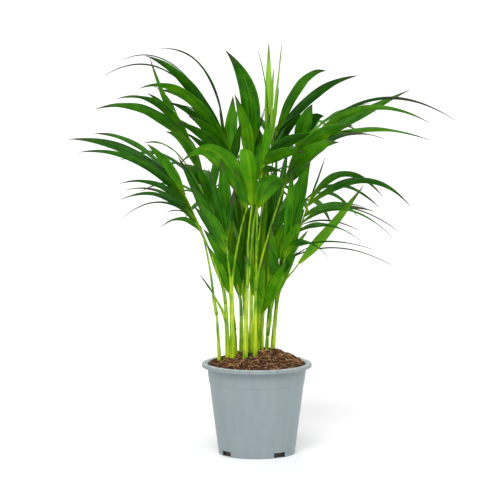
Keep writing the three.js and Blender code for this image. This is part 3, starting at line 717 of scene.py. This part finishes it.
def pot_material(rim_top):
    """Polypropylene, injection moulded: a fine satin grain, faint flow streaks, and soil on the rim."""
    m = new_material("polypropylene")
    place = add_node(m, "ShaderNodeTexCoord", {})["Object"]
    height = add_node(m, "ShaderNodeSeparateXYZ", {}, {0: place})["Z"]
    # Flow marks run up the wall, about 8 mm wide and 80 mm long.
    drawn = add_node(m, "ShaderNodeMapping", {"Scale": (1, 1, 0.1)}, {"Vector": place})["Vector"]
    flow = add_node(m, "ShaderNodeTexNoise", {"Scale": 110, "Detail": 3}, {"Vector": drawn})["Fac"]
    # Grain: one crumb of the mould's texture is about 0.8 mm here, so that it still shows.
    grain = add_node(m, "ShaderNodeTexNoise", {"Scale": 1250, "Detail": 2}, {"Vector": place})["Fac"]
    greys = ((0.3, "849197"), (0.5, "879599"), (0.7, "8b989a"))
    grey = add_node(m, "ShaderNodeValToRGB", {"stops": greys}, {"Fac": flow})["Color"]
    # Soil dust: specks of 2 mm, thickest on the lip and few from 12 mm below it.
    specks = add_node(
        m, "ShaderNodeTexNoise", {"Scale": 480, "Detail": 3, "Roughness": 0.7}, {"Vector": place})["Fac"]
    near_rim = add_node(
        m, "ShaderNodeMapRange",
        {"From Min": rim_top - 12 * MM, "From Max": rim_top, "To Min": 0, "To Max": 0.15},
        {"Value": height})[0]
    dusty = add_node(m, "ShaderNodeMath", {"operation": "ADD"}, {0: specks, 1: near_rim})[0]
    dust = add_node(
        m, "ShaderNodeMapRange",
        {"From Min": 0.66, "From Max": 0.76, "To Min": 0, "To Max": 0.6}, {"Value": dusty})[0]
    soiled = add_node(
        m, "ShaderNodeMixRGB", {"Color2": linear("7a5c42")}, {"Fac": dust, "Color1": grey})[0]
    # The lip's top edge is painted paler in patches of about 8 mm: partly scuffs, partly a painted
    # highlight.
    patches = add_node(m, "ShaderNodeTexNoise", {"Scale": 120, "Detail": 3}, {"Vector": place})["Fac"]
    edge = add_node(
        m, "ShaderNodeMapRange",
        {"From Min": rim_top - 2 * MM, "From Max": rim_top - 0.4 * MM, "To Min": -0.5, "To Max": 0.25},
        {"Value": height})[0]
    scuffed_and_lit_edge = add_node(m, "ShaderNodeMath", {"operation": "ADD"}, {0: patches, 1: edge})[0]
    scuffs_and_highlight = add_node(
        m, "ShaderNodeMapRange",
        {"From Min": 0.6, "From Max": 0.8, "To Min": 0, "To Max": 0.7}, {"Value": scuffed_and_lit_edge})[0]
    scuffed_and_highlighted = add_node(
        m, "ShaderNodeMixRGB", {"Color2": linear("bcc6c4")}, {"Fac": scuffs_and_highlight, "Color1": soiled})[0]
    # Painted shade: under the pot, inside the foot ring and its notches, the plastic is painted near black.
    flat = add_node(m, "ShaderNodeVectorMath", {"operation": "MULTIPLY", 1: (1, 1, 0)}, {0: place})[0]
    out = add_node(m, "ShaderNodeVectorMath", {"operation": "LENGTH"}, {0: flat})["Value"]
    inner, under = (POT["base"] - 0.7) * MM, (DRAIN["height"] + 1) * MM
    inside = add_node(m, "ShaderNodeMath", {"operation": "LESS_THAN", 1: inner}, {0: out})[0]
    low = add_node(m, "ShaderNodeMath", {"operation": "LESS_THAN", 1: under}, {0: height})[0]
    painted_underside_shade = add_node(
        m, "ShaderNodeMath", {"operation": "MULTIPLY", "use_clamp": True}, {0: inside, 1: low})[0]
    colour = add_node(
        m, "ShaderNodeMixRGB", {"Color2": linear("1c1713")}, {"Fac": painted_underside_shade, "Color1": scuffed_and_highlighted})[0]
    rough = add_node(m, "ShaderNodeMapRange", {"To Min": 0.42, "To Max": 0.58}, {"Value": flow})[0]
    bump = add_node(
        m, "ShaderNodeBump", {"Strength": 0.12, "Distance": 0.1 * MM}, {"Height": grain})["Normal"]
    return finish_material(m, {"IOR": 1.49}, {"Base Color": colour, "Roughness": rough, "Normal": bump})


def floor_material():
    """Seamless white paper, rolled out: matt and plain."""
    m = new_material("white_paper")
    return finish_material(m, {"Base Color": linear("f6f6f6"), "Roughness": 0.9}, {})


# The pot.

def rounded(corners, radius, steps=4):
    """A profile with each corner turned into a small arc, as wide as its two sides have room for."""
    out = [corners[0]]
    for before, at, after in zip(corners, corners[1:], corners[2:]):
        corner = Vector(at)
        back, on = Vector(before) - corner, Vector(after) - corner
        reach = min(radius, 0.45 * back.length, 0.45 * on.length)
        start, end = corner + back.normalized() * reach, corner + on.normalized() * reach
        for step in range(steps + 1):
            t = step / steps
            out.append(start * (1 - t) ** 2 + corner * 2 * t * (1 - t) + end * t ** 2)
    return out + [corners[-1]]


def spun(profile, steps):
    """A bmesh of a profile of (radius, height) in metres, spun about the upright axis."""
    bm = bmesh.new()
    verts = [bm.verts.new((r, 0, z)) for r, z in profile]
    edges = [bm.edges.new(pair) for pair in zip(verts, verts[1:])]
    bmesh.ops.spin(bm, geom=verts + edges, axis=UP, cent=(0, 0, 0), angle=TURN, steps=steps, use_merge=True)
    bmesh.ops.remove_doubles(bm, verts=bm.verts[:], dist=MERGE * MM)
    bmesh.ops.recalc_face_normals(bm, faces=bm.faces[:])
    return bm


def cut_away(piece, cutter_bm):
    """Cuts closed blocks out of a piece and keeps the result as its own mesh."""
    mesh = bpy.data.meshes.new("cutter")
    cutter_bm.to_mesh(mesh)
    cutter_bm.free()
    cutter = bpy.data.objects.new("cutter", mesh)
    bpy.context.scene.collection.objects.link(cutter)
    cut = piece.modifiers.new("cut", "BOOLEAN")
    cut.operation = "DIFFERENCE"
    cut.solver = "MANIFOLD"
    cut.object = cutter
    seen = piece.evaluated_get(bpy.context.evaluated_depsgraph_get())
    finished = bpy.data.meshes.new_from_object(seen)
    piece.modifiers.clear()
    piece.data = finished
    bpy.data.objects.remove(cutter)


POT_LOW, POT_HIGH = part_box("pot")
POT = {
    "rim": (POT_HIGH.x - POT_LOW.x) / 2 / MM,
    "height": POT_HIGH.z / MM,
    "neck": 54.3,
    "base": 41.5,
    "lip": 4.2,
    "step_below_rim": 21.5,
    "wall": 1.2,
    "floor": 1.5,
    "foot": 4.5,
    "pad": 24,
    "bead": 7,
    "corner": 0.7,
    "facets": 160,
    "sharp": 40,
}
DRAIN = {"count": 4, "first_turn": -53, "width": 15, "height": 5.8, "reach": 9, "hole_depth": 6}


def pot_profile():
    """The wall's outline, from the middle of the underside up the outside, over the lip and down inside."""
    rim, neck, base, height = POT["rim"], POT["neck"], POT["base"], POT["height"]
    lip, wall, floor, foot, pad = POT["lip"], POT["wall"], POT["floor"], POT["foot"], POT["pad"]
    step_z = height - POT["step_below_rim"]
    step = base + (neck - base) * step_z / (height - lip)
    bead = base + (neck - base) * POT["bead"] / (height - lip)
    return [
        (0, 0), (pad, 0), (pad + 2, foot), (base - 3, foot),
        (base - 2.5, 0), (base - 0.6, 0), (base, 0.8),
        (bead - 0.3, 6.2), (bead, 6.8),
        (step - 0.5, step_z - 0.6), (step + 0.2, step_z + 0.4),
        (neck, height - lip), (neck + 0.1, height - 1.6),
        (rim - wall, height - 1.6), (rim - wall, height - lip),
        (rim, height - lip), (rim, height - 1), (rim - 1, height), (neck + 0.6, height),
        (neck - wall, height - 1.4), (neck - wall, height - lip),
        (step + 0.2 - wall, step_z + 0.4), (step - 0.5 - wall, step_z - 0.6),
        (base - wall, foot + floor), (pad + 1, foot + floor), (pad - 1, floor), (0, floor),
    ]


def drain_blocks():
    """Blocks that cut each notch in the foot ring and the hole behind it."""
    bm = bmesh.new()
    holes = (
        (DRAIN["reach"], DRAIN["height"], -1),
        (DRAIN["hole_depth"], POT["foot"] + POT["floor"] + 1, POT["wall"] + 1.4),
    )
    for k in range(DRAIN["count"]):
        turn = math.radians(DRAIN["first_turn"] + 360 / DRAIN["count"] * k)
        for depth, top, inset in holes:
            verts = bmesh.ops.create_cube(bm, size=MM)["verts"]
            bmesh.ops.scale(bm, vec=(DRAIN["width"], depth, top + 1), verts=verts)
            middle = Vector((0, inset + depth / 2 - POT["base"], (top - 1) / 2)) * MM
            bmesh.ops.translate(bm, vec=middle, verts=verts)
            bmesh.ops.rotate(bm, cent=(0, 0, 0), matrix=Matrix.Rotation(turn, 3, "Z"), verts=verts)
    return bm


def make_pot():
    profile = [(p[0] * MM, p[1] * MM) for p in rounded(pot_profile(), POT["corner"])]
    wall = spun(profile, POT["facets"])
    piece = make_piece("nursery_pot", wall, [pot_material(POT_HIGH.z)], ["pot"])
    cut_away(piece, drain_blocks())
    piece.data.shade_smooth()
    piece.data.set_sharp_from_angle(angle=math.radians(POT["sharp"]))


# The soil.

def soil_rise(x, y):
    """Height of the peat above its level in millimetres, as its solid has it."""
    mx, my = SOIL["mound_at"]
    away = (x - mx) ** 2 + (y - my) ** 2
    mound = SOIL["mound_height"] * math.exp(-away / (2 * SOIL["mound_spread"] ** 2))
    lumps = 0.9 * math.sin(x / 5 + 1) * math.cos(y / 6) + 0.5 * math.sin(x / 2.3 - y / 3.1)
    edge = min(1, max(0, (POT["neck"] - math.hypot(x, y)) / 14))
    return (mound + lumps) * edge ** 0.7


def soil_top(x, y):
    """The crumbly surface: the mound, with clods and crumbs on it."""
    clod, crumb = SOIL["clod"], SOIL["crumb"]
    clods = 1.5 * noise.noise(Vector((x / clod, y / clod, 3)))
    crumbs = 1.3 * abs(noise.noise(Vector((x / crumb, y / crumb, 7))))
    return SOIL["level"] + SOIL["crust"] + soil_rise(x, y) + clods + crumbs


def make_soil():
    """The root ball: a plug that fits the pot, with a crumbly top."""
    level, crust, ring = SOIL["level"], SOIL["level"] + SOIL["crust"], SOIL["ring"]
    wall = POT["neck"] - POT["wall"] - 0.4
    foot, bottom = POT["base"] - POT["wall"] - 1, POT["floor"] + GAP + SOIL["off_floor"]
    sides = [(0, bottom), (foot, bottom), (wall - 0.8, level - SOIL["shoulder"]), (wall, level)]
    rings = [(wall - ring * k, crust) for k in range(1, int(wall / ring))]
    bm = spun([(r * MM, z * MM) for r, z in sides + rings + [(0, crust)]], SOIL["facets"])
    for v in bm.verts:
        if v.co.z > (level + 0.2) * MM:
            v.co.z = soil_top(v.co.x / MM, v.co.y / MM) * MM
    make_piece("root_ball", bm, [peat_material()], ["soil"])


FIBRES = {"count": 520, "length": (5, 17), "radius": (0.12, 0.26), "sides": 4, "steps": 5}
CHIPS = {"count": 230, "size": (0.8, 2.4)}
# Middles lie within `strewn` of the axis, and ends within `reach`, just inside the wall.
LITTER = {"strewn": 50, "reach": 52}


def soil_spot(rng):
    """A point on the soil, in millimetres, evenly spread over the pot's mouth."""
    out, turn = LITTER["strewn"] * math.sqrt(rng.random()), rng.uniform(0, TURN)
    x, y = out * math.cos(turn), out * math.sin(turn)
    return Vector((x, y, soil_top(x, y)))


def make_fibres():
    """Loose husk fibres and chips strewn over the soil."""
    rng = random.Random(11)
    bm, _ = new_part()
    for _ in range(FIBRES["count"]):
        spot = soil_spot(rng)
        turn, length = rng.uniform(0, TURN), rng.uniform(*FIBRES["length"])
        run = Vector((math.cos(turn), math.sin(turn), rng.uniform(-0.15, 0.2))) * length / 2
        start, end = spot - run, spot + run
        for tip in (start, end):
            out = math.hypot(tip.x, tip.y)
            if out > LITTER["reach"]:
                tip.x, tip.y = tip.x * LITTER["reach"] / out, tip.y * LITTER["reach"] / out
            tip.z = soil_top(tip.x, tip.y) + rng.uniform(-0.6, 0.9)
        pull = spot + Vector((rng.uniform(-3, 3), rng.uniform(-3, 3), rng.uniform(0.2, 2)))
        radius = rng.uniform(*FIBRES["radius"]) * MM
        curve = arc(start * MM, pull * MM, end * MM)
        side = level_side(start, end)
        add_tube(bm, curve, side, FIBRES["sides"], FIBRES["steps"], lambda u: radius, rng.random())
    for _ in range(CHIPS["count"]):
        spot, size = soil_spot(rng), rng.uniform(*CHIPS["size"])
        part, part_tone = new_part()
        bmesh.ops.create_icosphere(part, subdivisions=1, radius=size * MM)
        for v in part.verts:
            v.co *= 1 + 0.35 * noise.noise(v.co / MM * 2 + spot)
        bmesh.ops.scale(part, vec=(1, rng.uniform(0.4, 0.8), rng.uniform(0.25, 0.5)), verts=part.verts[:])
        turn, tilt = rng.uniform(0, TURN), rng.uniform(-0.5, 0.5)
        spin = Matrix.Rotation(turn, 3, "Z") @ Matrix.Rotation(tilt, 3, "X")
        bmesh.ops.rotate(part, cent=(0, 0, 0), matrix=spin, verts=part.verts[:])
        bmesh.ops.translate(part, vec=spot * MM, verts=part.verts[:])
        shade = rng.random()
        for face in part.faces:
            face[part_tone] = shade
        join(bm, part)
    make_piece("coir_fibres", bm, [fibre_material()], [])


# Stems.

def stem_curve(spec):
    """A stem rises upright from its root and leans out towards its top."""
    end = Vector(spec["top"])
    start = Vector((*spec["foot"], SOIL["level"] - SOIL["root_depth"]))
    upright = Vector((*spec["foot"], (start.z + end.z) / 2))
    middle = start.lerp(end, 0.5).lerp(upright, 0.6)
    return arc(start * MM, middle * MM, end * MM)


def make_stem(name, spec, cane):
    """Sheaths wrap each cane, so its outline steps in where each one ends and closes round the petioles."""
    rng = random.Random(name)
    low, high = spec["radii"]
    mouths = [rng.uniform(0.42, 0.52), rng.uniform(0.7, 0.8)]
    form = CANE_FORM

    def radius_at(u):
        swell = form["swell"] * math.exp(-((u - 0.25) ** 2) / 0.02)
        steps = sum(form["sheath"] * (1 - smooth_step(mouth, mouth + 0.02, u)) for mouth in mouths)
        closing = 1 - form["closes_by"] * smooth_step(form["closes_from"], 1, u)
        return (low - form["slimmer"] + (high - low) * u + swell + steps) * closing * MM

    bm, _ = new_part()
    add_tube(bm, stem_curve(spec), Vector((1, 0, 0)), form["sides"], form["steps"], radius_at)
    make_piece(name.replace("stem", "cane"), bm, [cane], [name])


# Fronds.

def rachis_curve(spec):
    """The start, end and curve of a petiole and rachis. It leaves its stem at `from`, or at the stem's top
    off centre by `seat` or towards its own heading."""
    top = Vector(STEMS[spec["stem"]]["top"])
    pull = Vector(spec["bend"])
    if "from" in spec:
        start = Vector(spec["from"])
    elif "seat" in spec:
        start = top + Vector((*spec["seat"], GAP))
    else:
        heading = pull - top
        heading.z = 0
        start = top + heading.normalized() * RACHIS["seat"] + UP * GAP
    return start, Vector(spec["tip"]), arc(start, pull, Vector(spec["tip"]))


def sprayed(start, end, rachis, spray):
    """Leaflets in pairs along the outer part of a rachis, spread to both sides of its heading."""
    rows = []
    azimuth = math.atan2((end - start).y, (end - start).x)
    for pair in range(spray["pairs"]):
        outer = pair / (spray["pairs"] - 1)
        for hand in (-1, 1):
            at = 0.58 + 0.4 * outer + 0.02 * hand
            turn = azimuth + hand * math.radians(spray["spread"] * (1 - 0.7 * outer))
            length = spray["reach"] * (0.8 + 0.2 * math.sin(2.4 * pair + hand))
            rise = spray["rise"] * (0.4 + outer)
            tip = rachis(at)[0] + Vector((length * math.cos(turn), length * math.sin(turn), rise))
            rows.append([at, *tip, spray["lift"], spray["width"] * (1 - 0.2 * outer), 18 * hand])
    return rows


def outline(u):
    """Half of a blade's outline, as a share of its full width."""
    widest, base = BLADE["widest_at"], BLADE["base_share"]
    swell = base + (1 - base) * math.sin(min(u / widest, 1) * math.pi / 2)
    return swell * (1 - max(0, (u - widest) / (1 - widest)) ** 1.8) / 2


def add_blade(bm, rachis, row, base_shade, rng):
    """One leaflet: a ribbed blade, folded like a roof along its midrib, on its own arch."""
    at, x, y, z, lift, width, roll = row
    base, tip = rachis(at)[0], Vector((x, y, z))
    bow = Vector(lift) if isinstance(lift, (list, tuple)) else UP * lift
    curve = arc(base, base.lerp(tip, 0.45) + bow, tip)
    side = level_side(base, tip)
    length = (tip - base).length
    steps = max(BLADE["fewest_steps"], round(length / BLADE["step"]))
    twist = rng.uniform(-BLADE["twist"], BLADE["twist"])
    phase, waves = rng.uniform(0, TURN), rng.uniform(1.5, 3.5)
    part, tone = new_part()
    bmesh.ops.create_grid(part, x_segments=BLADE["across"], y_segments=steps, size=0.5, calc_uvs=True)
    for v in part.verts:
        a, u = 2 * v.co.x, v.co.y + 0.5
        point, across, normal = frame_at(curve, u, side, math.radians(roll + twist * u * u))
        half = max(BLADE["least_half"], width * outline(u))
        roof = BLADE["fold"] * half * (1 - math.sqrt(a * a + 0.01))
        ribs = BLADE["rib"] * math.cos(4 * math.pi * a) * min(1, 4 * u * (1 - u)) - 0.05 * half * a ** 4
        ripple = BLADE["ripple"] * half * a * a * math.sin(TURN * waves * u + phase + a)
        v.co = (point + across * (a * half) + normal * (roof + ribs + ripple)) * MM
    bmesh.ops.recalc_face_normals(part, faces=part.faces[:])
    bmesh.ops.solidify(part, geom=part.faces[:], thickness=BLADE["thickness"] * MM)
    bmesh.ops.recalc_face_normals(part, faces=part.faces[:])
    spread = BLADE["shade_spread"]
    shade = base_shade + rng.uniform(-spread, spread) - (width < BLADE["thin"])
    for face in part.faces:
        face[tone] = shade
    join(bm, part)


def make_frond(name, spec, leaf, cane):
    """One frond: its leaflets, and the petiole and rachis that carry them."""
    rng = random.Random(name)
    bm, _ = new_part()
    start, end, rachis = rachis_curve(spec)
    rows = spec["leaflets"] if "leaflets" in spec else sprayed(start, end, rachis, spec["spray"])
    for row in rows:
        add_blade(bm, rachis, row, spec.get("shade", BLADE["shade"]), rng)

    # The petiole starts inside its stem's sheaths, on the stem's own axis.
    stem = STEMS[spec["stem"]]
    low = SOIL["level"] - SOIL["root_depth"]
    root = stem_curve(stem)((start.z - RACHIS["sheathed"] - low) / (stem["top"][2] - low))[0] / MM
    inside = RACHIS["sheathed_share"]

    def drawn(u):
        if u < inside:
            return root.lerp(start, u / inside) * MM, (start - root).normalized()
        point, tangent = rachis((u - inside) / (1 - inside))
        return point * MM, tangent

    def radius_at(u):
        taper = RACHIS["base_radius"] + (RACHIS["tip_radius"] - RACHIS["base_radius"]) * u
        return (taper + RACHIS["flare"] * math.exp(-u / 0.05)) * MM

    side = level_side(start, end)
    add_tube(bm, drawn, side, RACHIS["sides"], RACHIS["steps"], radius_at, finish=1)
    make_piece(name + "_blades", bm, [leaf, cane], [name])


# Studio.

def make_studio():
    """The camera, a plain white floor, an even sky and three wide soft suns."""
    scene = bpy.context.scene
    scene.view_settings.view_transform = "Standard"
    eye = bpy.data.objects.new("camera", bpy.data.cameras.new("camera"))
    eye.data.lens = LENS_MM
    eye.data.clip_end = 100
    away = Vector((0, -math.cos(VIEW_ELEVATION), math.sin(VIEW_ELEVATION)))
    eye.location = VIEW_CENTRE + away * VIEW_DISTANCE
    eye.rotation_euler = (math.pi / 2 - VIEW_ELEVATION, 0, 0)
    scene.collection.objects.link(eye)
    scene.camera = eye

    bm = bmesh.new()
    bmesh.ops.create_circle(bm, cap_ends=True, segments=64, radius=30)
    bmesh.ops.recalc_face_normals(bm, faces=bm.faces[:])
    mesh = bpy.data.meshes.new("floor")
    bm.to_mesh(mesh)
    bm.free()
    mesh.materials.append(floor_material())
    floor = bpy.data.objects.new("floor", mesh)
    scene.collection.objects.link(floor)

    world = bpy.data.worlds.new("studio")
    world.use_nodes = True
    world.node_tree.nodes["Background"].inputs["Color"].default_value = linear("ffffff")
    world.node_tree.nodes["Background"].inputs["Strength"].default_value = SKY_STRENGTH
    scene.world = world

    for name, heading, height, strength in SUNS:
        light = bpy.data.lights.new(name, "SUN")
        light.energy = strength
        light.angle = SUN_SPREAD
        lamp = bpy.data.objects.new(name, light)
        turn, tilt = math.radians(heading), math.radians(height)
        towards = Vector((math.cos(turn) * math.cos(tilt), math.sin(turn) * math.cos(tilt), math.sin(tilt)))
        lamp.location = towards
        lamp.rotation_euler = towards.to_track_quat("Z", "Y").to_euler()
        scene.collection.objects.link(lamp)


# The plant.

LEAF = leaf_material("palm_leaf", ((0.3, "0a2e00"), (0.5, "1e5a00"), (0.7, "3f8400"), (0.92, "74a60c")),
                     "6c9c14", "6ea008")
YOUNG_LEAF = leaf_material("young_palm_leaf", ((0.35, "3f8410"), (0.6, "6ca820"), (0.85, "93c83c")),
                           "a4d050", "86bc30")
CANE = cane_material("palm_cane", ((0.36, "3f7a00"), (0.47, "7cac00"), (0.58, "bcd21a")))
PETIOLE = cane_material("palm_petiole", ((0.36, "347000"), (0.48, "6ca004"), (0.6, "a4c41c")))

make_studio()
make_pot()
make_soil()
make_fibres()
for stem_name, stem_spec in STEMS.items():
    make_stem(stem_name, stem_spec, CANE)
for frond_name, frond_spec in FRONDS.items():
    make_frond(frond_name, frond_spec, YOUNG_LEAF if frond_spec.get("young") else LEAF, PETIOLE)
